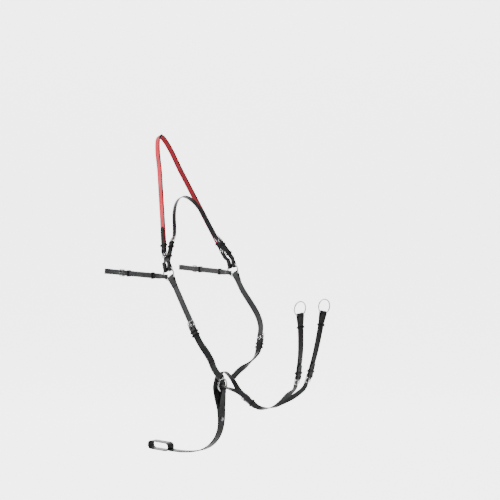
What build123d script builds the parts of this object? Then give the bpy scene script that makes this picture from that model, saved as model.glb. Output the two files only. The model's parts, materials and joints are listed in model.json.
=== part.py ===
"""Hunting breastplate with a running martingale fork and a grab strap, worn shape.

Frame: +X is the horse's forward, +Y the horse's left, +Z up. The origin is the spot on
the crest of the neck where the neck strap rests. All sizes are in millimetres.
"""
from build123d import *
from math import atan2, cos, degrees, radians, sin
import os

os.makedirs("parts", exist_ok=True)

# ---- leather and webbing -------------------------------------------------------------
PLY = 2.2               # one thickness of strap leather
FIT = 0.35              # air between a strap and what lies over it
NECK_WIDTH = 14.0
GRAB_WIDTH = 14.0       # black leather ends of the grab strap
RED_WIDTH = 17.0        # padded red grab strap
SADDLE_WIDTH = 16.0
SHOULDER_WIDTH = 20.0
FORK_WIDTH = 16.0
REIN_WIDTH = 18.0
GIRTH_WIDTH = 27.0
GIRTH_LOOP_WIDTH = 20.0
SAFE_WIDTH = 58.0       # broad leather safe behind the chest ring

# ---- metal ---------------------------------------------------------------------------
RING_RADIUS = 19.75     # centre of the wire, shoulder and chest rings
RING_WIRE = 2.25
REIN_RING_RADIUS = 20.5
REIN_RING_WIRE = 1.8
BAR = 1.5               # radius of the buckle wire
BUCKLE_LENGTH = 18.0    # from the chape bar to the far bar
BUCKLE_PLAY = 0.75      # each side of the strap
BUCKLE_CORNER = 3.0
TONGUE_WIDTH = 2.8
TONGUE_THICK = 1.8
TONGUE_FIT = 0.1
STUD_RADIUS = 6.5
PUNCH_RADIUS = 1.7      # tongue holes in the billets
TIP_LENGTH = 9.0        # blunt point at a billet's end
TIP_HALF = 2.5          # half width left at the point
STUD_HEIGHT = 1.6

# ---- keepers -------------------------------------------------------------------------
KEEPER_WALL = 1.6
KEEPER_LENGTH = 6.0
KEEPER_PLAY = 0.45

# ---- places --------------------------------------------------------------------------
RING_X, RING_Y, RING_Z = 72.0, 145.0, -227.0
CHEST_X, CHEST_Z = 156.0, -565.0
NECK_HANG = 76.0        # angle round the shoulder ring, from +X, where each strap hangs
GRAB_HANG = 132.0
SADDLE_HANG = 208.0
SHOULDER_HANG = -50.0
CHEST_HANG = 50.0       # angle from straight up where the shoulder straps meet the chest ring
GRAB_APEX = (-101.0, 190.0)
NECK_BAR = (107.0, 76.0)        # sideways from the middle, and along from the ring wire
GRAB_BAR_RISE = 56.0
SADDLE_D = (-165.0, -170.0, -227.0)
SADDLE_D_HOLE = 5.0
FAR_BAR = {"right": (164.0, -152.0, -364.0), "left": (185.0, 146.0, -419.0)}
CHAPE_RUN = {"right": (0.50, 0.05, -0.86), "left": (0.10, -0.36, -0.93)}
CHEST_ROUTE = {
    "right": [(193, -136, -430), (193, -112, -456), (186, -82, -487), (175, -52, -517), (163, -30, -541)],
    "left": [(193, 108, -488), (184, 75, -512), (173, 46, -532), (162, 28, -545)],
}
FORK_FAR_BAR = (458.0, 25.0, -532.0)
REIN_EYE = (492.0, 53.0, -335.0)
REIN_BEND = (483.0, 36.0, -434.0)
REIN_TURN = -13.0       # both rein rings are turned a little to the right
SIDES = {"right": -1, "left": 1}

EYE_TAIL = 6.0
EYE_CLOSE = 18.0
EYE_END = EYE_CLOSE + EYE_TAIL

NODES = {}


def keep(name, *pieces):
    """Files one node; several loose solids in it stay separate."""
    NODES[name] = pieces[0] if len(pieces) == 1 else Compound(children=list(pieces))


def edge_plane(origin, along, out):
    """Plane seen from a strap's edge: x runs along the strap, y points out of its face."""
    along = Vector(*along).normalized()
    width = along.cross(Vector(*out)).normalized()
    return Plane(origin=Vector(*origin), x_dir=along, z_dir=width)


def slab(plane, sketch, width):
    """Gives an edge-on sketch the strap's width, half to each side."""
    return extrude(plane * sketch, amount=width / 2, both=True)


def strip(points, thickness):
    """Edge-on outline of a strap of one thickness that follows the points."""
    spots = [Vector(*p) for p in points]
    upper, lower = [], []
    for i, spot in enumerate(spots):
        ahead = (spots[min(i + 1, len(spots) - 1)] - spot) if i + 1 < len(spots) else None
        behind = (spot - spots[i - 1]) if i else None
        first = (behind or ahead).normalized()
        last = (ahead or behind).normalized()
        mean = (first + last).normalized()
        side = Vector(-mean.Y, mean.X) * (thickness / 2 / mean.dot(first))
        upper.append(spot + side)
        lower.append(spot - side)
    return make_face(Polyline(*upper, *reversed(lower), close=True))


def smooth(points, steps, tangents=None):
    """Evenly spaced points on one smooth curve through the given ones."""
    curve = Spline(*points, tangents=tangents) if tangents else Spline(*points)
    return [curve.position_at(i / steps) for i in range(steps + 1)]


def ribbon(route, outs, widths, thickness, steps, tangents=None):
    """Strap along a curve in space; its face and width turn evenly between the ends given."""
    curve = Spline(*route, tangents=tangents) if tangents else Spline(*route)
    sections = []
    for i in range(steps + 1):
        share = i / steps
        place = share * (len(outs) - 1)
        near = min(int(place), len(outs) - 2)
        out = Vector(*outs[near]) * (near + 1 - place) + Vector(*outs[near + 1]) * (place - near)
        place = share * (len(widths) - 1)
        near = min(int(place), len(widths) - 2)
        width = widths[near] * (near + 1 - place) + widths[near + 1] * (place - near)
        along = curve.tangent_at(share)
        section = Plane(origin=curve.position_at(share), x_dir=along.cross(out), z_dir=along)
        sections.append(section * Rectangle(width, thickness))
    return loft(sections, ruled=True)


def eye(hole, back, ahead, close, tail=EYE_TAIL):
    """Folded strap end round a wire at 0, the strap leaving towards +x.

    The opening has radius hole and reaches back and ahead of the wire; the two plies meet
    at close and stay doubled for the length of the tail.
    """
    outer = make_hull(
        (Pos(-back, 0) * Circle(hole + PLY)).edges()
        + (Pos(ahead, 0) * Circle(hole + PLY)).edges()
        + (Pos(close, 0) * Circle(PLY)).edges()
    )
    inner = make_hull(
        (Pos(-back, 0) * Circle(hole)).edges()
        + (Pos(ahead, 0) * Circle(hole)).edges()
        + (Pos(close - 2 * PLY, 0) * Circle(PLY / 6)).edges()
    )
    return outer + Pos(close + tail / 2, 0) * Rectangle(tail, 2 * PLY) - inner


def narrowed(plane, solid, spot, way, width, end):
    """Trims a strap to the narrower width end where it folds round a wire at spot."""
    face = Plane(origin=plane.origin, x_dir=plane.x_dir, z_dir=plane.y_dir)
    upper = [(spot - way * 25, end / 2), (spot + way * 9, end / 2), (spot + way * 20, width / 2 + 1)]
    upper += [(spot + way * 400, width / 2 + 1)]
    outline = make_face(Polyline(*upper, *[(x, -z) for x, z in reversed(upper)], close=True))
    return solid & extrude(face * outline, amount=80, both=True)


def upright(plane):
    """Turn, seen from the strap's edge, that brings a fold into the upright plane of its ring."""
    along = Vector(plane.x_dir.X, 0, plane.x_dir.Z).normalized()
    return degrees(atan2(along.dot(plane.y_dir), along.dot(plane.x_dir)))


def turned(turn, reach):
    """Point at a distance from the wire on a fold that is turned."""
    return Vector(reach * cos(radians(turn)), reach * sin(radians(turn)))


BAR_HOLE = BAR + 0.2
OVER = PLY + FIT + PLY / 2              # billet's middle above a chape
UNDER = -(BAR + FIT + PLY / 2)          # billet's middle below the far bar
CREST = BAR_HOLE + PLY + FIT + PLY / 2  # billet's middle over the chape bar
BAR_TAIL = 8.0                          # from the bar to where the chape is flat


def chape_end():
    """Folded leather round the chape bar at 0; the strap leaves towards -x."""
    outer = make_hull(Circle(BAR_HOLE + PLY).edges() + (Pos(-BAR_TAIL, 0) * Circle(PLY)).edges())
    return outer - Circle(BAR_HOLE)


def billet_path(tip):
    """Middle line of a billet in the buckle: tip first, then over the bar and under the far bar."""
    return [(-tip, OVER), (-12, OVER), (-3, CREST), (1.5, CREST + 0.35), (14, UNDER), (22, UNDER)]


def tongue_slot(plane, reach=11.0):
    """Cut for the tongue through chape and billet."""
    return plane * Pos((reach - 5) / 2, 4, 0) * Box(reach + 5, 16, TONGUE_WIDTH + 1.4)


def finished(plane, solid, width, tip, holes):
    """Trims a billet's tip to a blunt point and punches its row of tongue holes."""
    face = Plane(origin=plane.origin + plane.y_dir * OVER, x_dir=plane.x_dir, z_dir=plane.y_dir)
    for way in (1, -1):
        start, end = -tip - 1, -tip + TIP_LENGTH
        spots = [(start, way * width), (start, way * TIP_HALF), (end, way * width / 2), (end, way * width)]
        corner = Polyline(*spots, close=True)
        solid -= extrude(face * make_face(corner), amount=PLY / 2 + FIT / 2, both=True)
    for at in holes:
        solid -= face * Pos(at, 0, 0) * Cylinder(PUNCH_RADIUS, PLY + FIT)
    return solid


def buckle(plane, width):
    """Wire frame, its chape bar on the plane's origin."""
    side = width / 2 + BUCKLE_PLAY + BAR
    corners = [(0, 0, side), (BUCKLE_LENGTH, 0, side), (BUCKLE_LENGTH, 0, -side), (0, 0, -side)]
    path = FilletPolyline(*corners, radius=BUCKLE_CORNER, close=True)
    start = Plane(origin=path.position_at(0), z_dir=path.tangent_at(0))
    return plane * sweep(start * Circle(BAR), path=path)


def tongue(plane):
    """Pin of the buckle: a hub on the chape bar and an arm whose tip rests over the far bar."""
    low = BAR + 0.3
    high = low + TONGUE_THICK
    end = BUCKLE_LENGTH + BAR
    arm = [(-1.2, 2.6), (5, high), (end, high), (end + 0.9, (low + high) / 2)]
    arm += [(end, low), (4, low), (1.5, -1)]
    outline = make_face(Polyline(*arm, close=True)) + Circle(BAR + 1.6)
    return slab(plane, outline - Circle(BAR + TONGUE_FIT), TONGUE_WIDTH)


def keeper(plane, width, at, low=-PLY, high=OVER + PLY / 2):
    """Leather loop round the stacked straps, its middle at `at` along the strap."""
    inner_wide = width + 2 * KEEPER_PLAY
    inner_tall = high - low + 2 * KEEPER_PLAY
    spot = plane * Pos(at, (high + low) / 2, 0)
    outer = Box(KEEPER_LENGTH, inner_tall + 2 * KEEPER_WALL, inner_wide + 2 * KEEPER_WALL)
    return spot * (outer - Box(KEEPER_LENGTH, inner_tall, inner_wide))


def ring(centre, normal, radius, wire):
    return Plane(origin=Vector(*centre), z_dir=Vector(*normal)) * Torus(radius, wire)


def wire_spot(side, angle):
    """Point of the shoulder ring's wire at an angle from +X, seen from the right."""
    return (
        RING_X + RING_RADIUS * cos(radians(angle)),
        SIDES[side] * RING_Y,
        RING_Z + RING_RADIUS * sin(radians(angle)),
    )


# ---- rings ---------------------------------------------------------------------------
for side, sign in SIDES.items():
    keep(f"shoulder_ring_{side}", ring((RING_X, sign * RING_Y, RING_Z), (0, 1, 0), RING_RADIUS, RING_WIRE))
keep("chest_ring", ring((CHEST_X, 0, CHEST_Z), (1, 0, 0), RING_RADIUS, RING_WIRE))

RING_HOLE = RING_WIRE + 0.9     # opening of a strap end round the ring wire
SLIM_EYE = 10.0                 # width of the neck and grab straps' ends in the ring
SADDLE_EYE = 12.0
FOLD_REACH = 18.0               # from the wire to where the neck strap's fold bends inwards

# ---- neck strap ----------------------------------------------------------------------
# The arch lies in a plane that leans back from the rings to the crest of the neck.
neck_spot = wire_spot("right", NECK_HANG)
neck_rise = Vector(-neck_spot[0], 0, -neck_spot[2])
NECK_DROP = neck_rise.length
neck_up = neck_rise.normalized()


def neck_world(across, up):
    """Point of the neck arch: sideways from the middle, and along the lean from the crest."""
    return Vector(0, across, 0) + neck_up * up


bar_across, bar_rise = NECK_BAR
neck_planes = {}
for side, sign in SIDES.items():
    knee = neck_world(sign * RING_Y, FOLD_REACH - NECK_DROP)
    bar_spot = neck_world(sign * bar_across, bar_rise - NECK_DROP)
    along = bar_spot - knee
    out = Vector(0, sign, 0)
    plane = edge_plane(bar_spot, along, out)
    neck_planes[side] = plane
    turn = upright(plane)
    wire = Vector(-along.length, 0) - turned(turn, FOLD_REACH)
    chape = Pos(wire.X, wire.Y) * Rot(0, 0, turn) * eye(RING_HOLE, 6.5, 2.5, 15, tail=2) + chape_end()
    chape += strip([wire + turned(turn, 13), (-along.length, 0), (-BAR_TAIL, 0)], 2 * PLY)
    chape = narrowed(plane, slab(plane, chape, NECK_WIDTH), wire.X, 1, NECK_WIDTH, SLIM_EYE)
    keep(f"neck_chape_{side}", chape - tongue_slot(plane))
    keep(f"neck_buckle_{side}", buckle(plane, NECK_WIDTH))
    keep(f"neck_tongue_{side}", tongue(plane))
    keep(f"neck_keepers_{side}", keeper(plane, NECK_WIDTH, -15), keeper(plane, NECK_WIDTH, -50))


def in_arch(plane, points):
    """Turns a right or left buckle's edge-on points into points across and along the neck arch."""
    spots = [plane.from_local_coords(Vector(x, y, 0)) for x, y in points]
    return [(spot.Y, spot.dot(neck_up)) for spot in spots]


neck_arch = Plane(origin=(0, 0, 0), x_dir=(0, 1, 0), z_dir=Vector(0, 1, 0).cross(neck_up))
right_end = in_arch(neck_planes["right"], billet_path(55))
left_end = in_arch(neck_planes["left"], billet_path(55))
over_neck = [right_end[-1], (-75, -86), (-62, -50), (-41, -19), (-19, -3), (0, PLY / 2)]
over_neck += [(-x, y) for x, y in reversed(over_neck[:-1])]
slope = (Vector(*right_end[-1]) - Vector(*right_end[-2])).normalized()
arch = smooth(over_neck, 40, tangents=(slope, Vector(slope.X, -slope.Y)))
neck_line = right_end[:-1] + [(p.X, p.Y) for p in arch] + list(reversed(left_end[:-1]))
neck_strap = slab(neck_arch, strip(neck_line, PLY), NECK_WIDTH)
for plane in neck_planes.values():
    neck_strap = finished(plane, neck_strap - tongue_slot(plane), NECK_WIDTH, 55, [-32])
keep("neck_strap", neck_strap)

# ---- grab strap ----------------------------------------------------------------------
grab_spot = wire_spot("right", GRAB_HANG)
grab_rise = Vector(GRAB_APEX[0] - grab_spot[0], 0, GRAB_APEX[1] - grab_spot[2])
GRAB_HEIGHT = grab_rise.length
grab_up = grab_rise.normalized()
grab_foot = Vector(grab_spot[0], 0, grab_spot[2])
grab_arch = Plane(origin=grab_foot, x_dir=(0, 1, 0), z_dir=Vector(0, 1, 0).cross(grab_up))
GRAB_SHOULDER = (26.0, 0.89)    # half width near the top, and where, as a share of the height
lean = Vector(GRAB_SHOULDER[0] - RING_Y, GRAB_SHOULDER[1] * GRAB_HEIGHT).normalized()
grab_planes = {}
for side, sign in SIDES.items():
    run = Vector(0, sign * lean.X, 0) + grab_up * lean.Y
    foot = grab_foot + Vector(0, sign * RING_Y, 0)
    bar_spot = foot + run * GRAB_BAR_RISE
    plane = edge_plane(bar_spot, run * -1, (0, sign, 0))
    grab_planes[side] = plane
    turn = 180 + upright(plane)
    wire = Vector(GRAB_BAR_RISE, 0)
    fold = Pos(GRAB_BAR_RISE, 0) * Rot(0, 0, turn) * eye(RING_HOLE, 6.5, 2.5, 15, tail=3)
    billet = billet_path(80) + [(25, UNDER), (33, -1), wire + turned(turn, 18), wire + turned(turn, 14)]
    billet = slab(plane, fold + strip(billet, PLY), GRAB_WIDTH)
    billet = narrowed(plane, billet, GRAB_BAR_RISE, -1, GRAB_WIDTH, SLIM_EYE)
    billet = finished(plane, billet - tongue_slot(plane), GRAB_WIDTH, 80, [-36, -56])
    keep(f"grab_billet_{side}", billet)
    keep(f"grab_buckle_{side}", buckle(plane, GRAB_WIDTH))
    keep(f"grab_tongue_{side}", tongue(plane))
    keep(f"grab_keeper_{side}", keeper(plane, RED_WIDTH, -20))
half = GRAB_SHOULDER[0]
leg_top = (RING_Y + lean.X / lean.Y * 0.72 * GRAB_HEIGHT, 0.72 * GRAB_HEIGHT)
foot_across = RING_Y + lean.X * (GRAB_BAR_RISE + BAR_TAIL)
foot_along = lean.Y * (GRAB_BAR_RISE + BAR_TAIL)
top = [(-leg_top[0], leg_top[1]), (-half - 2, 0.9 * GRAB_HEIGHT), (0, GRAB_HEIGHT)]
top += [(-x, y) for x, y in reversed(top[:-1])]
bow = smooth(top, 24, tangents=(Vector(-lean.X, lean.Y), Vector(-lean.X, -lean.Y)))
grab_line = [(-foot_across, foot_along)] + [(p.X, p.Y) for p in bow] + [(foot_across, foot_along)]
red = slab(grab_arch, strip(grab_line, 2 * PLY), RED_WIDTH)
for side in SIDES:
    red += slab(grab_planes[side], chape_end(), GRAB_WIDTH)
    red -= tongue_slot(grab_planes[side])
keep("grab_strap", red)

# ---- saddle straps -------------------------------------------------------------------
SADDLE_BAR = 151.0      # from the ring wire to the chape bar
SADDLE_PLANES, SADDLE_D_SPOT = {}, {}
for side, sign in SIDES.items():
    eye_spot = Vector(*wire_spot(side, SADDLE_HANG))
    d_spot = Vector(SADDLE_D[0], -sign * SADDLE_D[1], SADDLE_D[2])
    along = d_spot - eye_spot
    plane = edge_plane(eye_spot + along.normalized() * SADDLE_BAR, along, (0, sign, 0))
    d_at = along.length - SADDLE_BAR
    flat = SADDLE_BAR - EYE_CLOSE - BAR_TAIL
    strap = Pos(-SADDLE_BAR, 0) * eye(RING_HOLE + 0.7, 6, 4, EYE_CLOSE) + chape_end()
    strap += Pos(-BAR_TAIL - flat / 2, 0) * Rectangle(flat, 2 * PLY)
    back_low = UNDER - PLY - FIT
    strap += strip([(-34, -PLY / 2), (-24, -1.5 * PLY), (-8, -1.5 * PLY), (-2, -2 * PLY), (24, back_low),
                    (d_at - 20, back_low)], PLY)
    d_middle = UNDER - PLY / 2 - FIT / 2
    d_fold = Pos(d_at, d_middle) * Rot(0, 0, 180) * eye(SADDLE_D_HOLE, 2, 0, 22)
    strap += d_fold
    strap += strip(billet_path(SADDLE_BAR - 34) + [(d_at - 20, UNDER)], PLY)
    strap = narrowed(plane, slab(plane, strap, SADDLE_WIDTH), -SADDLE_BAR, 1, SADDLE_WIDTH, SADDLE_EYE)
    strap = finished(plane, strap - tongue_slot(plane), SADDLE_WIDTH, SADDLE_BAR - 34, [-45, -75])
    keep(f"saddle_strap_{side}", strap)
    keep(f"saddle_buckle_{side}", buckle(plane, SADDLE_WIDTH))
    keep(f"saddle_tongue_{side}", tongue(plane))
    keepers = [keeper(plane, SADDLE_WIDTH, -17, low=-2 * PLY), keeper(plane, SADDLE_WIDTH, -109)]
    keep(f"saddle_keepers_{side}", *keepers)
    SADDLE_PLANES[side] = plane
    SADDLE_D_SPOT[side] = (d_at, d_middle)

# ---- shoulder straps -----------------------------------------------------------------
# The wider the fold, the more the ring's wire bows inside it, so the opening grows with it.
RING_BOW = RING_RADIUS - (RING_RADIUS ** 2 - (SHOULDER_WIDTH / 2) ** 2) ** 0.5
SHOULDER_HOLE = RING_WIRE + RING_BOW - 1.82
shoulder_planes = {}
for side, sign in SIDES.items():
    eye_spot = Vector(*wire_spot(side, SHOULDER_HANG))
    far = Vector(*FAR_BAR[side])
    run = Vector(*CHAPE_RUN[side]).normalized()
    bar_spot = far + run * BUCKLE_LENGTH
    plane = edge_plane(bar_spot, run * -1, (0, sign, 0))
    shoulder_planes[side] = plane
    ring_plane = edge_plane(eye_spot, far - eye_spot, (0, sign, 0))
    fold = eye(SHOULDER_HOLE, 6, 2.5, EYE_CLOSE) + Pos(EYE_END + 4, -PLY / 2) * Rectangle(8, PLY)
    start = ring_plane.from_local_coords(Vector(EYE_END + 8, -PLY / 2, 0))
    end = plane.from_local_coords(Vector(22, UNDER, 0))
    billet = ribbon([start, end], [ring_plane.y_dir, plane.y_dir], [SHOULDER_WIDTH, SHOULDER_WIDTH], PLY, 14,
                    tangents=(ring_plane.x_dir, run))
    billet += slab(ring_plane, fold, SHOULDER_WIDTH)
    billet += slab(plane, strip(billet_path(30), PLY), SHOULDER_WIDTH)
    billet = finished(plane, billet - tongue_slot(plane), SHOULDER_WIDTH, 30, [])
    keep(f"shoulder_billet_{side}", billet)
    keep(f"shoulder_buckle_{side}", buckle(plane, SHOULDER_WIDTH))
    keep(f"shoulder_tongue_{side}", tongue(plane))
    keep(f"shoulder_keepers_{side}", keeper(plane, SHOULDER_WIDTH, -14), keeper(plane, SHOULDER_WIDTH, -25))

    # The doubled chest strap turns from the shoulder's side to the front of the chest.
    lean_out = Vector(0, sign * sin(radians(CHEST_HANG)), cos(radians(CHEST_HANG)))
    chest_spot = Vector(CHEST_X, 0, CHEST_Z) + lean_out * RING_RADIUS
    chest_plane = edge_plane(chest_spot, lean_out, (1, 0, 0))
    start = plane.from_local_coords(Vector(-32, 0, 0))
    end = chest_plane.from_local_coords(Vector(EYE_END, 0, 0))
    route = [start] + [Vector(*p) for p in CHEST_ROUTE[side]] + [end]
    outs = [plane.y_dir, (0.55, sign * 0.83, 0.1), (0.95, sign * 0.3, 0.1), (1, 0, 0)]
    widths = [SHOULDER_WIDTH, SHOULDER_WIDTH - 1]
    strap = ribbon(route, outs, widths, 2 * PLY, 22, tangents=(run, lean_out * -1))
    strap += slab(plane, chape_end() + Pos(-20, 0) * Rectangle(24, 2 * PLY), SHOULDER_WIDTH)
    strap += slab(chest_plane, eye(RING_HOLE, 4, 1, EYE_CLOSE), SHOULDER_WIDTH - 1)
    keep(f"chest_strap_{side}", strap - tongue_slot(plane))

# ---- girth strap ---------------------------------------------------------------------
SAFE_X = CHEST_X - 11.5         # broad leather behind the chest ring
girth_route = [
    (SAFE_X, 0, CHEST_Z + 28), (SAFE_X, 0, CHEST_Z - 20), (150, 0, -632), (151, 0, -676), (142, 0, -712),
    (120, 0, -742), (90, 0, -763), (48, 0, -777), (0, 0, -784), (-52, 0, -786),
]
safe = [SAFE_WIDTH * 0.62, SAFE_WIDTH, SAFE_WIDTH * 0.86, SAFE_WIDTH * 0.62, SAFE_WIDTH * 0.53]
taper = safe + [GIRTH_WIDTH] * 8
girth_outs = [(1, 0, 0), (1, 0, 0), (1, 0, -0.3), (0.4, 0, -1), (0.1, 0, -1)]
girth = ribbon(girth_route, girth_outs, taper, 3.0, 40)
loop_plane = edge_plane((CHEST_X, 0, CHEST_Z - RING_RADIUS), (0, 0, -1), (1, 0, 0))
girth_fold = eye(RING_HOLE + 0.8, 6, 1, 14, tail=2)
girth_fold += strip([(13, 0), (24, -2.5), (42, -5.5), (60, -6.5)], 2 * PLY)
girth += slab(loop_plane, girth_fold, GIRTH_LOOP_WIDTH)
GIRTH_LOOP = (62.0, 11.0)       # length and half height of the loop that the girth goes through
tail = edge_plane((-52, 0, -786), (-1, 0, 0), (0, 0, -1))
loop_ends = (Pos(18, -9), Pos(18 + GIRTH_LOOP[0], -9))
loop_outer = [edge for end in loop_ends for edge in (end * Circle(GIRTH_LOOP[1] + PLY)).edges()]
loop_inner = [edge for end in loop_ends for edge in (end * Circle(GIRTH_LOOP[1])).edges()]
girth_loop = make_hull(loop_outer) + strip([(-4, 0), (4, -1), (10, -3)], 3.0) - make_hull(loop_inner)
girth += slab(tail, girth_loop, GIRTH_WIDTH)
keep("girth_strap", girth)
stud_plane = Plane(origin=(152.5, 0, -668), z_dir=(1, 0, 0))
keep("girth_stud", stud_plane * Pos(0, 0, STUD_HEIGHT / 2 + 1.5) * Cylinder(STUD_RADIUS, STUD_HEIGHT))

# ---- martingale attachment and fork --------------------------------------------------
# One strap comes from the fork, passes over and through the chest ring and buckles to itself.
# It is rolled to the right at the buckle and to the left at the fork, so it turns in between.
ROLL = 40.0
LAP = 0.06      # a turning section is this much thinner than the flat one it starts inside


def rolled(x, z, roll):
    """Direction square to a run in the side view, leaning to the side by an angle."""
    return Vector(x, 0, z).normalized() * cos(radians(roll)) + Vector(0, sin(radians(roll)), 0)


attach = edge_plane((255, 0, -599), (-0.87, 0, 0.49), rolled(-0.49, -0.87, ROLL))
main_low = -(1.5 * PLY)
main_high = UNDER - PLY - 2 * FIT
main = [(-36, main_low), (-9, main_low), (-3, main_low - 1.9), (10, main_high), (24.6, main_high)]
fork = slab(attach, strip(main, PLY), FORK_WIDTH)
billet = slab(attach, strip(billet_path(40), PLY), FORK_WIDTH) - tongue_slot(attach)
fork += finished(attach, billet, FORK_WIDTH, 40, [-27])

arm_top = Vector(184, 0, -534.5)
arm_run = Vector(-0.8, 0, 0.6)
arm_foot = attach.from_local_coords(Vector(24, main_high, 0))
arm_outs = [attach.y_dir, Vector(-0.6, 0, -0.8)]
arm_widths = [FORK_WIDTH - LAP, FORK_WIDTH - LAP]
fork += ribbon([arm_foot, (203, -1.5, -551.5), arm_top], arm_outs, arm_widths, PLY - LAP, 12,
               tangents=(attach.x_dir, arm_run))
crown = smooth([(184, -534.5), (172, -526.5), (161, -524.5), (150.6, -533)], 10,
               tangents=(Vector(-0.8, 0.6), Vector(-0.12, -1)))
round_ring = [(184.5, -534.9)] + [(p.X, p.Y) for p in crown]
round_ring += [(149.4, -545), (149.1, -558), (151.5, -565.5), (158, -568.5), (172.6, -571.1)]
fork += slab(Plane.XZ, strip(round_ring, PLY), FORK_WIDTH)
back_foot = attach.from_local_coords(Vector(21.4, UNDER, 0))
fork += ribbon([(172, 0, -571), back_foot], [Vector(-0.18, 0, -0.98), attach.y_dir], arm_widths, PLY - LAP, 10,
               tangents=(Vector(0.98, 0, -0.18), attach.x_dir * -1))

branch = Vector(386, 0, -594)
branch_run = Vector(0.87, 0, 0.5)
branch_out = rolled(0.5, -0.87, -ROLL)
branch_side = branch_run.cross(branch_out)
gather = [attach.from_local_coords(Vector(-35.4, main_low, 0)), (328, 0, -618.5), (358, 0, -610), branch]
fork += ribbon(gather, [attach.y_dir, Vector(0, 0, -1), branch_out], arm_widths, PLY - LAP, 16,
               tangents=(attach.x_dir * -1, branch_run))
chape = chape_end() + Pos(-17, 0) * Rectangle(18, 2 * PLY)
keep("attachment_chape", slab(attach, chape, FORK_WIDTH) - tongue_slot(attach))
keep("attachment_buckle", buckle(attach, FORK_WIDTH))
keep("attachment_tongue", tongue(attach))
keep("attachment_keeper", keeper(attach, FORK_WIDTH, -18, low=main_low - PLY / 2))

FORK_PLANES, REIN_PLANES, REIN_CENTRES = {}, {}, {}
for side, sign in SIDES.items():
    far = Vector(FORK_FAR_BAR[0], sign * FORK_FAR_BAR[1], FORK_FAR_BAR[2])
    bend = Vector(REIN_BEND[0], sign * REIN_BEND[1], REIN_BEND[2])
    top_spot = Vector(REIN_EYE[0], sign * REIN_EYE[1], REIN_EYE[2])
    down = (far - bend).normalized()
    bar_spot = far - down * BUCKLE_LENGTH
    plane = edge_plane(bar_spot, down, (1, 0, 0))
    FORK_PLANES[side] = plane
    end = plane.from_local_coords(Vector(22, UNDER, 0))
    route = [
        branch - branch_run * 12 + branch_side * (sign * 3), (404, sign * 8, -582 - sign * 4),
        (432, sign * 15, -562 - sign * 4), (450, sign * 21.5, -546 - sign * 2), end,
    ]
    outs = [branch_out, (0.75, -0.45, -0.5), plane.y_dir]
    widths = [FORK_WIDTH - 6, REIN_WIDTH, REIN_WIDTH]
    fork += ribbon(route, outs, widths, PLY, 16, tangents=(branch_run, down * -1))
    billet = slab(plane, strip(billet_path(44), PLY), REIN_WIDTH) - tongue_slot(plane)
    fork += finished(plane, billet, REIN_WIDTH, 44, [-28])
    keep(f"fork_buckle_{side}", buckle(plane, REIN_WIDTH))
    keep(f"fork_tongue_{side}", tongue(plane))
    keep(f"fork_keeper_{side}", keeper(plane, REIN_WIDTH, -15))

    # Rein strap: folded round the chape bar below and round the rein ring above.
    turn = Vector(cos(radians(REIN_TURN)), sin(radians(REIN_TURN)), 0)
    over = (bend - top_spot).normalized()
    rein_plane = edge_plane(top_spot, over, turn)
    REIN_PLANES[side] = rein_plane
    start = plane.from_local_coords(Vector(-46, 0, 0))
    stop = rein_plane.from_local_coords(Vector(30 + EYE_TAIL, 0, 0))
    rein = ribbon([start, bend * 0.5 + (start + stop) * 0.25, stop], [plane.y_dir, rein_plane.y_dir],
                  [REIN_WIDTH, REIN_WIDTH], 2 * PLY, 12, tangents=(down * -1, over * -1))
    rein += slab(plane, chape_end() + Pos(-27, 0) * Rectangle(38, 2 * PLY), REIN_WIDTH)
    rein += slab(rein_plane, eye(4.6, 1.5, 0, 30), REIN_WIDTH)
    keep(f"rein_strap_{side}", rein - tongue_slot(plane))
    keep(f"rein_keeper_{side}", keeper(rein_plane, REIN_WIDTH, 33, high=PLY))
    ring_up = over * -1
    ring_normal = ring_up.cross(rein_plane.z_dir)
    centre = top_spot + ring_up * REIN_RING_RADIUS
    REIN_CENTRES[side] = centre
    keep(f"rein_ring_{side}", ring(centre, ring_normal, REIN_RING_RADIUS, REIN_RING_WIRE))
keep("fork_strap", fork)

for name, node in NODES.items():
    export_step(node, f"parts/{name}.step")
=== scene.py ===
# %% [markdown]
# # A hunting breastplate with a martingale fork
# This notebook dresses a finished CAD model in leather, thread and metal. The model is already
# in place and in metres: +X is the horse's forward, +Y its left and +Z up, and the origin is the
# spot on the crest of the neck where the neck strap rests. The frame is never moved. A strap gets
# a leather piece that stands for it, and a ring or buckle keeps its CAD shape and gets a metal.

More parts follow.
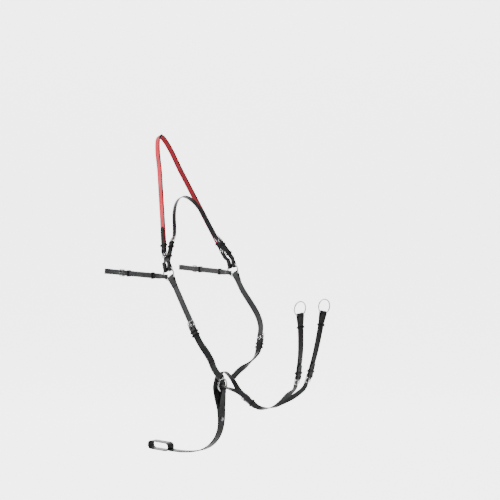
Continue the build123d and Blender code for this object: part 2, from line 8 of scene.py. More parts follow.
# %% Load the fixed frame
import bpy
import bmesh
import json
import math
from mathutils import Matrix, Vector


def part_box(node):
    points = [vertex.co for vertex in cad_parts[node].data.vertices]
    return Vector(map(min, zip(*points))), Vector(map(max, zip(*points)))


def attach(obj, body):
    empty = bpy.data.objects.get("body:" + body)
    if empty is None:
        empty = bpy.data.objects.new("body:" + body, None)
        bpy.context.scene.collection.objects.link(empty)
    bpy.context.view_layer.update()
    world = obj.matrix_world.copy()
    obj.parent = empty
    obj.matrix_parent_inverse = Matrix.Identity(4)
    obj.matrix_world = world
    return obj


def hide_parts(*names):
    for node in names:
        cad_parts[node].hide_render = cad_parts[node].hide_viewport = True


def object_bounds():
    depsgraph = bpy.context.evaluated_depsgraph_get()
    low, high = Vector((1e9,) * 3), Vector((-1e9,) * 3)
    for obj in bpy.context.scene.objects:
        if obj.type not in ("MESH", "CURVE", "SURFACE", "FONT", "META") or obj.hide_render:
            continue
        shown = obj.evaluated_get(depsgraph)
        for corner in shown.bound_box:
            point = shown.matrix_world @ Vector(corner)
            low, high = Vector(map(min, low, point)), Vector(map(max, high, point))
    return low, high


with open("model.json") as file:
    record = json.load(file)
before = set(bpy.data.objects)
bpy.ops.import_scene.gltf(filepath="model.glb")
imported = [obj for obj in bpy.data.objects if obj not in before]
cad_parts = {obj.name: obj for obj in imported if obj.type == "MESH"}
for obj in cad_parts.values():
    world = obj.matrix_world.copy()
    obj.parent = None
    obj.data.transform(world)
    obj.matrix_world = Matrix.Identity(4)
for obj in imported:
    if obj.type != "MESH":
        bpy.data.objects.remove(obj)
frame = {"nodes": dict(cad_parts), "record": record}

cad_low, cad_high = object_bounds()
nodes = frame["nodes"]
body_of_node = {n: b for b, names in frame["record"]["behaviour"]["bodies"].items() for n in names}
SIDES = ("right", "left")
print("CAD box", [round(v, 3) for v in cad_low], [round(v, 3) for v in cad_high], len(nodes), "nodes")

# %% [markdown]
# ## Studio
# Black tack is shown against a lit white sweep, but with dim surroundings in front of it.
# The lit paper makes the background white, and it stands behind the leather, so the leather
# doesn't mirror it. Wide softboxes then draw one soft highlight along each strap. If the whole
# room were white, the straps would mirror it and come out grey.

# %% Camera
camera_data = bpy.data.cameras.new("camera")
camera = bpy.data.objects.new("camera", camera_data)
bpy.context.scene.collection.objects.link(camera)
camera.location = (2.7815, -3.0005, -0.0200)
camera.rotation_euler = (math.radians(88), 0, math.radians(40))
camera_data.lens = 95.98
camera_data.sensor_width = 36
bpy.context.scene.camera = camera
print("camera at", [round(v, 2) for v in camera.location], "lens", round(camera_data.lens, 1), "mm")

# %% Paper sweep: a floor that curves up behind the object
FLOOR_Z = cad_low.z - 0.35
SWEEP_TURN = math.radians(40)
SWEEP_FRONT, SWEEP_BEND, SWEEP_RADIUS, SWEEP_TOP, SWEEP_HALF_WIDTH = -6.0, 3.0, 2.5, 9.0, 9.0
SWEEP_BACK = SWEEP_BEND + SWEEP_RADIUS
bend_angles = [math.radians(6 * i) for i in range(16)]
profile = [(SWEEP_FRONT, 0.0)]
profile += [(SWEEP_BEND + SWEEP_RADIUS * math.sin(a), SWEEP_RADIUS - SWEEP_RADIUS * math.cos(a))
            for a in bend_angles]
profile += [(SWEEP_BACK, SWEEP_TOP)]
paper_mesh = bpy.data.meshes.new("paper")
paper_points, paper_faces = [], []
for side in (-SWEEP_HALF_WIDTH, SWEEP_HALF_WIDTH):
    for along, up in profile:
        x = -math.sin(SWEEP_TURN) * along + math.cos(SWEEP_TURN) * side
        y = math.cos(SWEEP_TURN) * along + math.sin(SWEEP_TURN) * side
        paper_points.append((x, y, FLOOR_Z + up))
row = len(profile)
for i in range(row - 1):
    paper_faces.append((i, row + i, row + i + 1, i + 1))
paper_mesh.from_pydata(paper_points, [], paper_faces)
paper_map = paper_mesh.uv_layers.new(name="along_the_sweep")
for loop in paper_mesh.loops:
    side_share, step = divmod(loop.vertex_index, row)
    paper_map.data[loop.index].uv = (side_share, (profile[step][0] - SWEEP_FRONT) / (SWEEP_BACK - SWEEP_FRONT))
for polygon in paper_mesh.polygons:
    polygon.use_smooth = True
paper = bpy.data.objects.new("paper", paper_mesh)
bpy.context.scene.collection.objects.link(paper)
print("paper", len(paper_faces), "faces at", round(FLOOR_Z, 3))


# %% Lights
def softbox(name, place, target, size, power):
    data = bpy.data.lights.new(name, "AREA")
    data.shape = "RECTANGLE"
    data.size, data.size_y = size
    data.energy = power
    lamp = bpy.data.objects.new(name, data)
    bpy.context.scene.collection.objects.link(lamp)
    lamp.location = place
    aim = Vector(target) - Vector(place)
    lamp.rotation_euler = aim.to_track_quat("-Z", "Y").to_euler()
    return lamp


MIDDLE = (0.1, 0.0, -0.35)
softbox("overhead", (0.6, -0.6, 2.6), MIDDLE, (2.2, 2.2), 70)
softbox("rear_side", (-2.2, -2.6, 0.9), MIDDLE, (1.4, 2.0), 70)
softbox("front_side", (3.4, 0.6, 0.9), MIDDLE, (1.2, 2.0), 40)
world = bpy.data.worlds.new("pale_world")
bpy.context.scene.world = world
world.use_nodes = True
backdrop = world.node_tree.nodes["Background"]
backdrop.inputs["Color"].default_value = (1.0, 1.0, 1.0, 1)
backdrop.inputs["Strength"].default_value = 0.28

# %% [markdown]
# ## Finishes
# Bridle leather is dyed, waxed and rolled, so it is nearly black with a satin shine. Up close it
# has a pebbled grain about a millimetre across, a slow mottling in its colour, and faint creases
# across the strap where it has been bent. Those effects are shared by the black and the red
# leather, so they sit in one node group, and each leather places it with its own values.


# %% Helpers for node trees
def add(tree, kind, **values):
    """One node; a value may be a number, a colour or the socket that feeds it."""
    node = tree.nodes.new(kind)
    for key, value in values.items():
        if key[0].islower():
            setattr(node, key, value)
            continue
        socket = node.inputs[key.replace("_", " ")]
        if isinstance(value, bpy.types.NodeSocket):
            tree.links.new(value, socket)
        else:
            socket.default_value = value
    return node


def shade_group(name, inputs, outputs):
    """An empty shader group with named number inputs and outputs, and its two end nodes."""
    tree = bpy.data.node_groups.new(name, "ShaderNodeTree")
    for label, value in inputs.items():
        socket = tree.interface.new_socket(label, in_out="INPUT", socket_type="NodeSocketFloat")
        socket.default_value = value
    for label in outputs:
        tree.interface.new_socket(label, in_out="OUTPUT", socket_type="NodeSocketFloat")
    return tree, tree.nodes.new("NodeGroupInput"), tree.nodes.new("NodeGroupOutput")


# %% Shared effect: leather grain
grain_tree, grain_in, grain_out = shade_group(
    "leather_grain",
    {"Pebble Scale": 900.0, "Mottle Scale": 28.0, "Crease Depth": 0.35},
    ["Height", "Mottle", "Gloss Break"],
)
coordinates = add(grain_tree, "ShaderNodeTexCoord").outputs["Object"]
pebbles = add(grain_tree, "ShaderNodeTexVoronoi", feature="SMOOTH_F1", Vector=coordinates,
              Scale=grain_in.outputs["Pebble Scale"], Smoothness=0.35)
mottle = add(grain_tree, "ShaderNodeTexNoise", Vector=coordinates, Scale=grain_in.outputs["Mottle Scale"],
             Detail=5.0, Roughness=0.62)
fibres = add(grain_tree, "ShaderNodeTexNoise", Vector=coordinates, Scale=420.0, Detail=3.0)
creases = add(grain_tree, "ShaderNodeTexNoise", Vector=coordinates, Scale=150.0, Detail=2.0, Distortion=1.4)
crease_height = add(grain_tree, "ShaderNodeMath", operation="MULTIPLY")
grain_tree.links.new(creases.outputs["Fac"], crease_height.inputs[0])
grain_tree.links.new(grain_in.outputs["Crease Depth"], crease_height.inputs[1])
grain_sum = add(grain_tree, "ShaderNodeMath", operation="ADD")
grain_tree.links.new(pebbles.outputs["Distance"], grain_sum.inputs[0])
grain_tree.links.new(crease_height.outputs[0], grain_sum.inputs[1])
gloss = add(grain_tree, "ShaderNodeMath", operation="MULTIPLY")
grain_tree.links.new(fibres.outputs["Fac"], gloss.inputs[0])
grain_tree.links.new(mottle.outputs["Fac"], gloss.inputs[1])
grain_tree.links.new(grain_sum.outputs[0], grain_out.inputs["Height"])
grain_tree.links.new(mottle.outputs["Fac"], grain_out.inputs["Mottle"])
grain_tree.links.new(gloss.outputs[0], grain_out.inputs["Gloss Break"])
print("group", grain_tree.name, len(grain_tree.nodes), "nodes")

# %% Shared effect: fine scratches and dulling on metal
scuff_tree, scuff_in, scuff_out = shade_group(
    "metal_scuffs", {"Scratch Scale": 260.0, "Dull Scale": 60.0}, ["Scratches", "Dulling"]
)
coordinates = add(scuff_tree, "ShaderNodeTexCoord").outputs["Object"]
stretch = add(scuff_tree, "ShaderNodeMapping", Vector=coordinates)
stretch.inputs["Scale"].default_value = (1.0, 6.0, 1.0)
stretch.inputs["Rotation"].default_value = (0.3, 0.5, 0.2)
lines = add(scuff_tree, "ShaderNodeTexNoise", Vector=stretch.outputs[0], Scale=scuff_in.outputs["Scratch Scale"],
            Detail=4.0, Roughness=0.7)
sharpen = add(scuff_tree, "ShaderNodeMapRange", Value=lines.outputs["Fac"])
sharpen.inputs["From Min"].default_value = 0.52
sharpen.inputs["From Max"].default_value = 0.66
dull = add(scuff_tree, "ShaderNodeTexNoise", Vector=coordinates, Scale=scuff_in.outputs["Dull Scale"], Detail=3.0)
scuff_tree.links.new(sharpen.outputs["Result"], scuff_out.inputs["Scratches"])
scuff_tree.links.new(dull.outputs["Fac"], scuff_out.inputs["Dulling"])
print("group", scuff_tree.name, len(scuff_tree.nodes), "nodes")


# %% Leather material
def leather(name, dark, light, gloss_range, pebble=900.0, bump=0.25, creases=0.35, shine=0.14):
    """Satin leather: two dye tones mixed by the mottle, a roughness range, and a grain in the bump."""
    material = bpy.data.materials.new(name)
    material.use_nodes = True
    tree = material.node_tree
    shader = tree.nodes["Principled BSDF"]
    grain = add(tree, "ShaderNodeGroup")
    grain.node_tree = grain_tree
    grain.inputs["Pebble Scale"].default_value = pebble
    grain.inputs["Crease Depth"].default_value = creases
    tone = add(tree, "ShaderNodeValToRGB", Fac=grain.outputs["Mottle"])
    tone.color_ramp.elements[0].position = 0.32
    tone.color_ramp.elements[0].color = (*dark, 1)
    tone.color_ramp.elements[1].position = 0.7
    tone.color_ramp.elements[1].color = (*light, 1)
    tree.links.new(tone.outputs["Color"], shader.inputs["Base Color"])
    rough = add(tree, "ShaderNodeMapRange", Value=grain.outputs["Gloss Break"])
    rough.inputs["From Min"].default_value = 0.12
    rough.inputs["From Max"].default_value = 0.42
    rough.inputs["To Min"].default_value = gloss_range[0]
    rough.inputs["To Max"].default_value = gloss_range[1]
    tree.links.new(rough.outputs["Result"], shader.inputs["Roughness"])
    relief = add(tree, "ShaderNodeBump", Height=grain.outputs["Height"], Strength=bump, Distance=0.0004)
    tree.links.new(relief.outputs["Normal"], shader.inputs["Normal"])
    shader.inputs["Specular IOR Level"].default_value = shine
    return material


BLACK = leather("black_bridle_leather", (0.004, 0.004, 0.0045), (0.010, 0.010, 0.011), (0.34, 0.50))
EDGE = leather("black_edge_dye", (0.002, 0.002, 0.002), (0.006, 0.006, 0.006), (0.30, 0.42),
               pebble=1500.0, bump=0.10, shine=0.12)
# painted sheen: a paler grey-black for the reflection on the billets and saddle straps
PAINTED_SHEEN_GREY = leather("painted_sheen_black_leather", (0.018, 0.018, 0.019), (0.036, 0.036, 0.038), (0.42, 0.58),
               bump=0.2, shine=0.3)
RED = leather("coral_red_leather", (0.74, 0.030, 0.055), (0.90, 0.075, 0.110), (0.50, 0.66),
              pebble=1100.0, bump=0.18, shine=0.15)
# painted shade: a darker copy of the red for the shadowed inside of the grab strap's bow
PAINTED_SHADE_RED = leather("painted_shade_red_leather", (0.24, 0.006, 0.014), (0.36, 0.014, 0.026), (0.52, 0.68),
                  pebble=1100.0, shine=0.15)
print("leathers", [m.name for m in (BLACK, EDGE, PAINTED_SHEEN_GREY, RED, PAINTED_SHADE_RED)])


# %% [markdown]
# The fittings are nickel plate. New plate is a mirror, but wear leaves fine scratches all in much
# the same direction, and dull patches where fingers and leather have rubbed. Both come from one
# shared group; the scratches break the gloss and the dull patches lower the colour.


# %% Metal material
def metal(name, bright, dull_tone, gloss_range):
    """Polished wire whose shine is broken by fine scratches."""
    material = bpy.data.materials.new(name)
    material.use_nodes = True
    tree = material.node_tree
    shader = tree.nodes["Principled BSDF"]
    scuffs = add(tree, "ShaderNodeGroup")
    scuffs.node_tree = scuff_tree
    tone = add(tree, "ShaderNodeValToRGB", Fac=scuffs.outputs["Dulling"])
    tone.color_ramp.elements[0].position = 0.35
    tone.color_ramp.elements[0].color = (*dull_tone, 1)
    tone.color_ramp.elements[1].position = 0.62
    tone.color_ramp.elements[1].color = (*bright, 1)
    tree.links.new(tone.outputs["Color"], shader.inputs["Base Color"])
    rough = add(tree, "ShaderNodeMapRange", Value=scuffs.outputs["Scratches"])
    rough.inputs["To Min"].default_value = gloss_range[0]
    rough.inputs["To Max"].default_value = gloss_range[1]
    tree.links.new(rough.outputs["Result"], shader.inputs["Roughness"])
    shader.inputs["Metallic"].default_value = 1.0
    relief = add(tree, "ShaderNodeBump", Height=scuffs.outputs["Scratches"], Strength=0.05, Distance=0.0001)
    tree.links.new(relief.outputs["Normal"], shader.inputs["Normal"])
    return material


SILVER = metal("polished_nickel", (0.58, 0.59, 0.60), (0.36, 0.37, 0.38), (0.12, 0.30))
PEWTER = metal("dark_pewter", (0.20, 0.20, 0.21), (0.10, 0.10, 0.105), (0.28, 0.46))
print("metals", [m.name for m in (SILVER, PEWTER)])

# %% Thread material
THREAD = bpy.data.materials.new("waxed_thread")
THREAD.use_nodes = True
thread_tree = THREAD.node_tree
thread_shader = thread_tree.nodes["Principled BSDF"]
thread_place = add(thread_tree, "ShaderNodeTexCoord").outputs["Object"]
twist = add(thread_tree, "ShaderNodeTexNoise", Vector=thread_place, Scale=2600.0, Detail=1.0)
thread_tone = add(thread_tree, "ShaderNodeValToRGB", Fac=twist.outputs["Fac"])
thread_tone.color_ramp.elements[0].color = (0.020, 0.020, 0.021, 1)
thread_tone.color_ramp.elements[1].color = (0.075, 0.075, 0.078, 1)
thread_tree.links.new(thread_tone.outputs["Color"], thread_shader.inputs["Base Color"])
thread_shader.inputs["Roughness"].default_value = 0.62
print("thread", THREAD.name)

# %% Paper material, which glows behind the object
PAPER = bpy.data.materials.new("pale_paper")
PAPER.use_nodes = True
paper_tree = PAPER.node_tree
paper_shader = paper_tree.nodes["Principled BSDF"]
paper_place = add(paper_tree, "ShaderNodeTexCoord")
paper_noise = add(paper_tree, "ShaderNodeTexNoise", Vector=paper_place.outputs["Object"], Scale=3.0, Detail=2.0)
paper_tone = add(paper_tree, "ShaderNodeValToRGB", Fac=paper_noise.outputs["Fac"])
paper_tone.color_ramp.elements[0].color = (0.88, 0.885, 0.885, 1)
paper_tone.color_ramp.elements[1].color = (0.90, 0.90, 0.90, 1)
paper_tree.links.new(paper_tone.outputs["Color"], paper_shader.inputs["Base Color"])
paper_shader.inputs["Roughness"].default_value = 0.85
paper_run = add(paper_tree, "ShaderNodeSeparateXYZ", Vector=paper_place.outputs["UV"])
paper_glow = add(paper_tree, "ShaderNodeValToRGB", Fac=paper_run.outputs["Y"])
paper_glow.color_ramp.elements[0].position = 0.545
paper_glow.color_ramp.elements[0].color = (0.05, 0.05, 0.05, 1)
paper_glow.color_ramp.elements[1].position = 0.60
paper_glow.color_ramp.elements[1].color = (1.0, 1.0, 1.0, 1)
paper_tree.links.new(paper_glow.outputs["Color"], paper_shader.inputs["Emission Color"])
paper_shader.inputs["Emission Strength"].default_value = 3.2
paper.data.materials.append(PAPER)
print("paper", PAPER.name, "glows from the object's place backwards")

# %% [markdown]
# ## Straps
# A strap is cut from a sheet, its arrises are taken off with an edge tool, and its cut sides are
# dyed and rubbed smooth. The CAD solid has the strap's true course and thickness but knife-sharp
# corners. Each leather piece here is a copy of it: the loose triangles are welded, flat parts are
# made one face again, the surface is sorted into broad faces and cut sides, and a small bevel
# takes the arrises off. Sorting by the shape of each smooth patch works for every strap, because
# a cut side is never wider than its leather is thick.


# %% Welded copy of a CAD solid, sorted into broad faces and cut sides
PATCH_LIMIT = math.radians(40)      # a sharper edge than this parts two patches
CUT_SIDE_WIDTH = 0.0062             # a patch narrower than this is a cut side


def welded(node):
    """Mesh data of a CAD node with its triangles joined up."""
    made = bmesh.new()
    made.from_mesh(nodes[node].data)
    bmesh.ops.remove_doubles(made, verts=made.verts, dist=2e-6)
    bmesh.ops.dissolve_degenerate(made, edges=made.edges, dist=1e-6)
    made.normal_update()
    return made


def patches(made):
    """Groups of faces that run on smoothly from one to the next."""
    seen, groups = set(), []
    for start in made.faces:
        if start in seen:
            continue
        seen.add(start)
        group, todo = [], [start]
        while todo:
            face = todo.pop()
            group.append(face)
            for edge in face.edges:
                if len(edge.link_faces) != 2 or edge.calc_face_angle(0) > PATCH_LIMIT:
                    continue
                for other in edge.link_faces:
                    if other not in seen:
                        seen.add(other)
                        todo.append(other)
        groups.append(group)
    return groups


def is_cut_side(group):
    """True for a patch that is no wider than a few thicknesses of leather."""
    inside = set(group)
    area = sum(f.calc_area() for f in group)
    rim = sum(e.calc_length() for f in group for e in f.edges if any(o not in inside for o in e.link_faces))
    return rim == 0 or 2 * area / rim < CUT_SIDE_WIDTH


# %% Leather piece that stands for a CAD node
def strap_piece(node, faces=BLACK, sides=EDGE, round_off=0.00045, repaint=None):
    """Leather copy of a node, its broad faces and cut sides in two materials, its arrises rounded."""
    made = welded(node)
    for group in patches(made):
        index = 1 if is_cut_side(group) else 0
        for face in group:
            face.material_index = index
    if repaint:
        repaint(made)
    bmesh.ops.dissolve_limit(made, angle_limit=math.radians(0.6), verts=made.verts, edges=made.edges,
                             delimit={"MATERIAL"})
    data = bpy.data.meshes.new(node + "_leather")
    made.to_mesh(data)
    made.free()
    piece = bpy.data.objects.new(node + "_leather", data)
    bpy.context.scene.collection.objects.link(piece)
    # slot 2 holds the painted-shade copy of the red, slot 3 plain black
    for material in (faces, sides, PAINTED_SHADE_RED, BLACK):
        data.materials.append(material)
    for polygon in data.polygons:
        polygon.use_smooth = True
    bevel = piece.modifiers.new("arrises", "BEVEL")
    bevel.width = round_off
    bevel.segments = 2
    bevel.limit_method = "ANGLE"
    bevel.angle_limit = math.radians(42)
    bevel.miter_outer = "MITER_ARC"
    bevel.harden_normals = False
    bevel.use_clamp_overlap = True
    even = piece.modifiers.new("even_normals", "WEIGHTED_NORMAL")
    even.weight = 60
    even.keep_sharp = True
    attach(piece, body_of_node[node])
    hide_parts(node)
    return piece


# %% [markdown]
# The black straps come first. The shoulder billets and saddle straps are a shade greyer: painted sheen,
# standing in for the soft reflection they catch, so they look paler than the doubled straps near them.

# %% Black straps and keepers
strap_nodes = ["neck_strap", "girth_strap", "fork_strap", "attachment_chape"]
for side in SIDES:
    strap_nodes += [f"{kind}_{side}" for kind in
                    ("neck_chape", "grab_billet", "chest_strap", "rein_strap")]
keeper_nodes = ["attachment_keeper"]
for side in SIDES:
    keeper_nodes += [f"{kind}_{side}" for kind in ("neck_keepers", "grab_keeper", "saddle_keepers",
                                                   "shoulder_keepers", "fork_keeper", "rein_keeper")]
for node in strap_nodes:
    strap_piece(node)
for node in keeper_nodes:
    strap_piece(node, round_off=0.0005)
for side in SIDES:
    strap_piece(f"shoulder_billet_{side}", faces=PAINTED_SHEEN_GREY)
    strap_piece(f"saddle_strap_{side}", faces=PAINTED_SHEEN_GREY)
print(len(strap_nodes) + len(keeper_nodes) + 4, "leather pieces")


# %% [markdown]
# The grab strap is covered in red leather, and the cover stops short of the buckles. Its faces that look into the
# bow
# get a darker crimson copy of the red: painted shade, standing in for the shadow inside the bow. One mesh carries
# the red, its painted-shade copy and the black, because the red and the black are sewn to one core. It is cut
# where the cover ends, and then each face takes its material from its place and the way it faces.


# %% Red grab strap: coral outside, painted shade in crimson inside, black where it folds round the buckle bars
PAINTED_SHADE_INDEX, BLACK_INDEX = 2, 3
COVER_GAP = 0.012                   # from the tongues' tips up to the cover's end
CROWN_HALF = 0.004                  # the top of the bow, where inside means underneath


def paint_grab(made):
    """Cuts the strap where its red cover ends, gives each part its leather, and paints shade (a darker red) on
    the faces that look inwards.
    """
    bar = max(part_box("grab_tongue_right")[1].z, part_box("grab_tongue_left")[1].z)
    cover_end = bar + COVER_GAP
    bmesh.ops.bisect_plane(made, geom=made.verts[:] + made.edges[:] + made.faces[:],
                           plane_co=(0, 0, cover_end), plane_no=(0, 0, 1))
    made.normal_update()
    for face in made.faces:
        spot = face.calc_center_median()
        # faces that look into the bow get painted shade, the darker copy of the red
        inside = face.normal.z if abs(spot.y) <= CROWN_HALF else face.normal.y * spot.y
        if spot.z < cover_end:
            face.material_index = BLACK_INDEX
        elif face.material_index == 0 and inside < 0:
            face.material_index = PAINTED_SHADE_INDEX


grab = strap_piece("grab_strap", faces=RED, round_off=0.0007, repaint=paint_grab)
print("grab strap", len(grab.data.polygons), "faces,", len(grab.data.materials), "leathers")

# %% [markdown]
# ## Stitches
# Two rows of waxed thread hold the plies of every doubled strap, two millimetres in from each cut
# side. A row follows the border between a broad face and a cut side, so the borders are gathered
# from the welded mesh, moved inwards, and handed to Geometry Nodes as bare edges. The tree turns
# them into curves, spaces points evenly along them and sets one slim stitch on each. Doing it with
# a tree keeps the pitch a single number for the whole breastplate.


# %% Geometry Nodes tree for a row of stitches
PITCH = 0.0034
SEED = 7
STITCH_SEGMENTS, STITCH_RINGS = 8, 5
FACES_PER_STITCH = STITCH_SEGMENTS * STITCH_RINGS


def stitch_rows_tree():
    """Edges in, slim stitches out: one on every point that lies a pitch apart."""
    tree = bpy.data.node_groups.new("stitch_rows", "GeometryNodeTree")
    face = tree.interface
    face.new_socket("Geometry", in_out="INPUT", socket_type="NodeSocketGeometry")
    sizes = {"Pitch": PITCH, "Stitch Length": 0.0025, "Thread Thickness": 0.0007, "Slant": 0.16}
    for label, value in sizes.items():
        face.new_socket(label, in_out="INPUT", socket_type="NodeSocketFloat").default_value = value
    face.new_socket("Seed", in_out="INPUT", socket_type="NodeSocketInt").default_value = SEED
    face.new_socket("Thread", in_out="INPUT", socket_type="NodeSocketMaterial")
    face.new_socket("Geometry", in_out="OUTPUT", socket_type="NodeSocketGeometry")
    start, end = tree.nodes.new("NodeGroupInput"), tree.nodes.new("NodeGroupOutput")
    line = add(tree, "GeometryNodeMeshToCurve", Mesh=start.outputs["Geometry"])
    spaced = add(tree, "GeometryNodeResampleCurve", mode="LENGTH", Curve=line.outputs[0],
                 Length=start.outputs["Pitch"])
    tangent = add(tree, "GeometryNodeInputTangent")
    out = add(tree, "GeometryNodeInputNamedAttribute", data_type="FLOAT_VECTOR", Name="face_out")
    along = add(tree, "FunctionNodeAlignRotationToVector", axis="X", Vector=tangent.outputs[0])
    facing = add(tree, "FunctionNodeAlignRotationToVector", axis="Z", pivot_axis="X",
                 Rotation=along.outputs[0], Vector=out.outputs["Attribute"])
    bead = add(tree, "GeometryNodeMeshUVSphere", Segments=STITCH_SEGMENTS, Rings=STITCH_RINGS, Radius=0.5)
    size = add(tree, "ShaderNodeCombineXYZ", X=start.outputs["Stitch Length"],
               Y=start.outputs["Thread Thickness"], Z=start.outputs["Thread Thickness"])
    shaped = add(tree, "GeometryNodeTransform", Geometry=bead.outputs["Mesh"], Scale=size.outputs[0])
    placed = add(tree, "GeometryNodeInstanceOnPoints", Points=spaced.outputs[0],
                 Instance=shaped.outputs[0], Rotation=facing.outputs[0])
    wobble = add(tree, "FunctionNodeRandomValue", data_type="FLOAT", Seed=start.outputs["Seed"])
    wobble.inputs["Min"].default_value = 0.75
    wobble.inputs["Max"].default_value = 1.25
    lean = add(tree, "ShaderNodeMath", operation="MULTIPLY")
    tree.links.new(wobble.outputs["Value"], lean.inputs[0])
    tree.links.new(start.outputs["Slant"], lean.inputs[1])
    turn = add(tree, "ShaderNodeCombineXYZ", Z=lean.outputs[0])
    turned = add(tree, "GeometryNodeRotateInstances", Instances=placed.outputs[0])
    tree.links.new(turn.outputs[0], turned.inputs["Rotation"])
    real = add(tree, "GeometryNodeRealizeInstances", Geometry=turned.outputs[0])
    threaded = add(tree, "GeometryNodeSetMaterial", Geometry=real.outputs[0], Material=start.outputs["Thread"])
    tree.links.new(threaded.outputs[0], end.inputs["Geometry"])
    return tree


STITCH_ROWS = stitch_rows_tree()
print("tree", STITCH_ROWS.name, len(STITCH_ROWS.nodes), "nodes")


# %% Borders of a strap, moved in from its cut sides
STITCH_INSET = 0.0021
STITCH_LIFT = 0.0001                # half sunk in the leather
CORNER = math.radians(35)
SHORTEST_ROW = 0.02


def stitch_lines(node):
    """Polylines (point, outward normal) that run along the borders of a strap's broad faces."""
    made = welded(node)
    kind = {}
    for group in patches(made):
        cut = is_cut_side(group)
        for face in group:
            kind[face] = cut
    shift, out, links = {}, {}, {}
    for edge in made.edges:
        pair = edge.link_faces
        if len(pair) != 2 or kind[pair[0]] == kind[pair[1]]:
            continue
        broad = pair[0] if not kind[pair[0]] else pair[1]
        a, b = edge.verts
        along = (b.co - a.co).normalized()
        inward = broad.normal.cross(along)
        if inward.dot(broad.calc_center_median() - a.co) < 0:
            inward = -inward
        for vert, other in ((a, b), (b, a)):
            shift[vert] = shift.get(vert, Vector()) + inward.normalized()
            out[vert] = out.get(vert, Vector()) + broad.normal
            links.setdefault(vert, []).append(other)
    lines, used = [], set()
    for start in links:
        if start in used or len(links[start]) != 2:
            continue
        chain = [start]
        used.add(start)
        for first in links[start]:
            here, grow = first, []
            while here not in used and len(links[here]) == 2:
                used.add(here)
                grow.append(here)
                ahead = [v for v in links[here] if v not in used]
                if not ahead:
                    break
                here = ahead[0]
            chain = chain + grow if first is links[start][0] else list(reversed(grow)) + chain
        points = []
        for vert in chain:
            normal, inward = out[vert].normalized(), shift[vert].normalized()
            points.append((vert.co + inward * STITCH_INSET + normal * STITCH_LIFT, normal))
        lines += split_at_corners(points)
    made.free()
    return lines


def split_at_corners(points):
    """Cuts a border where it turns a corner, and keeps the long runs that the row needs."""
    runs, run = [], [points[0]]
    for i in range(1, len(points)):
        run.append(points[i])
        if i + 1 < len(points):
            one = points[i][0] - points[i - 1][0]
            two = points[i + 1][0] - points[i][0]
            if one.length > 1e-6 and two.length > 1e-6 and one.angle(two) > CORNER:
                runs.append(run)
                run = [points[i]]
    runs.append(run)
    lengths = [sum((run[i + 1][0] - run[i][0]).length for i in range(len(run) - 1)) for run in runs]
    return [run for run, length in zip(runs, lengths) if length > SHORTEST_ROW]


# %% Sew one body: every row on it becomes one plain mesh
def sew(body, rows):
    """Runs the stitch tree on the rows of a body, and keeps the result as one piece."""
    points, edges, normals = [], [], []
    for line in rows:
        first = len(points)
        points += [p for p, n in line]
        normals += [n for p, n in line]
        edges += [(first + i, first + i + 1) for i in range(len(line) - 1)]
    data = bpy.data.meshes.new(body + "_rows")
    data.from_pydata(points, edges, [])
    stored = data.attributes.new("face_out", "FLOAT_VECTOR", "POINT")
    stored.data.foreach_set("vector", [c for n in normals for c in n])
    guide = bpy.data.objects.new(body + "_rows", data)
    bpy.context.scene.collection.objects.link(guide)
    modifier = guide.modifiers.new("stitches", "NODES")
    modifier.node_group = STITCH_ROWS
    inputs = {item.name: item.identifier for item in STITCH_ROWS.interface.items_tree
              if item.item_type == "SOCKET" and item.in_out == "INPUT"}
    modifier[inputs["Pitch"]] = PITCH
    modifier[inputs["Thread"]] = THREAD
    evaluated = guide.evaluated_get(bpy.context.evaluated_depsgraph_get())
    sewn = bpy.data.meshes.new_from_object(evaluated)
    guide.modifiers.clear()
    bpy.data.objects.remove(guide)
    piece = bpy.data.objects.new(body + "_stitches", sewn)
    bpy.context.scene.collection.objects.link(piece)
    for polygon in sewn.polygons:
        polygon.use_smooth = True
    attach(piece, body)
    print(body, "stitches", len(sewn.polygons) // FACES_PER_STITCH, "faces", len(sewn.polygons))


# %% Rows on the doubled straps
doubled = ["girth_strap", "grab_strap"]
for side in SIDES:
    doubled += [f"{kind}_{side}" for kind in ("neck_chape", "saddle_strap", "chest_strap", "rein_strap")]
rows_of_body = {}
for node in doubled:
    rows = stitch_lines(node)
    rows_of_body.setdefault(body_of_node[node], []).extend(rows)
for body, rows in rows_of_body.items():
    sew(body, rows)

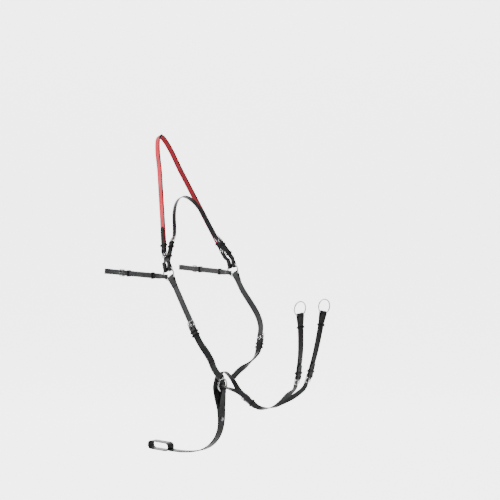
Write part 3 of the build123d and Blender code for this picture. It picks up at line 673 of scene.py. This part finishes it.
# %% [markdown]
# ## Metal
# Rings, buckle frames and tongues are round nickel-plated wire. Their CAD shapes are already
# right, so they stay, and only their material changes. The stud on the girth strap is a domed cap
# with a raised rim, so its outline is turned round an axis to make a new piece.

# %% Metal on the CAD nodes
for name, node in nodes.items():
    if any(word in name for word in ("_ring", "buckle", "tongue")):
        node.data.materials.clear()
        node.data.materials.append(SILVER)
        for polygon in node.data.polygons:
            polygon.use_smooth = True
print(sum(1 for n in nodes.values() if n.data.materials and n.data.materials[0] == SILVER), "metal nodes")

# %% Domed stud on the girth strap
stud_low, stud_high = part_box("girth_stud")
stud_radius = (stud_high.y - stud_low.y) / 2
stud_base = (stud_low.x, (stud_low.y + stud_high.y) / 2, (stud_low.z + stud_high.z) / 2)
stud_tall = stud_high.x - stud_low.x
outline = [(1.0, 0.0), (1.0, 0.35), (0.94, 0.5), (0.86, 0.42), (0.78, 0.55), (0.5, 0.85), (0.2, 0.98)]
AROUND = 32
stud_points, stud_faces = [], []
for wide, tall in outline:
    for i in range(AROUND):
        turn = 2 * math.pi * i / AROUND
        stud_points.append((stud_base[0] + tall * stud_tall,
                            stud_base[1] + wide * stud_radius * math.cos(turn),
                            stud_base[2] + wide * stud_radius * math.sin(turn)))
for level in range(len(outline) - 1):
    for i in range(AROUND):
        here, ahead = level * AROUND + i, level * AROUND + (i + 1) % AROUND
        stud_faces.append((here, ahead, ahead + AROUND, here + AROUND))
stud_faces.append(tuple(range(AROUND - 1, -1, -1)))
stud_faces.append(tuple((len(outline) - 1) * AROUND + i for i in range(AROUND)))
stud_mesh = bpy.data.meshes.new("girth_stud_dome")
stud_mesh.from_pydata(stud_points, [], stud_faces)
stud_mesh.materials.append(PEWTER)
for polygon in stud_mesh.polygons:
    polygon.use_smooth = True
stud = bpy.data.objects.new("girth_stud_dome", stud_mesh)
bpy.context.scene.collection.objects.link(stud)
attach(stud, body_of_node["girth_stud"])
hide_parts("girth_stud")
print("stud", round(stud_radius * 2000, 1), "mm across")
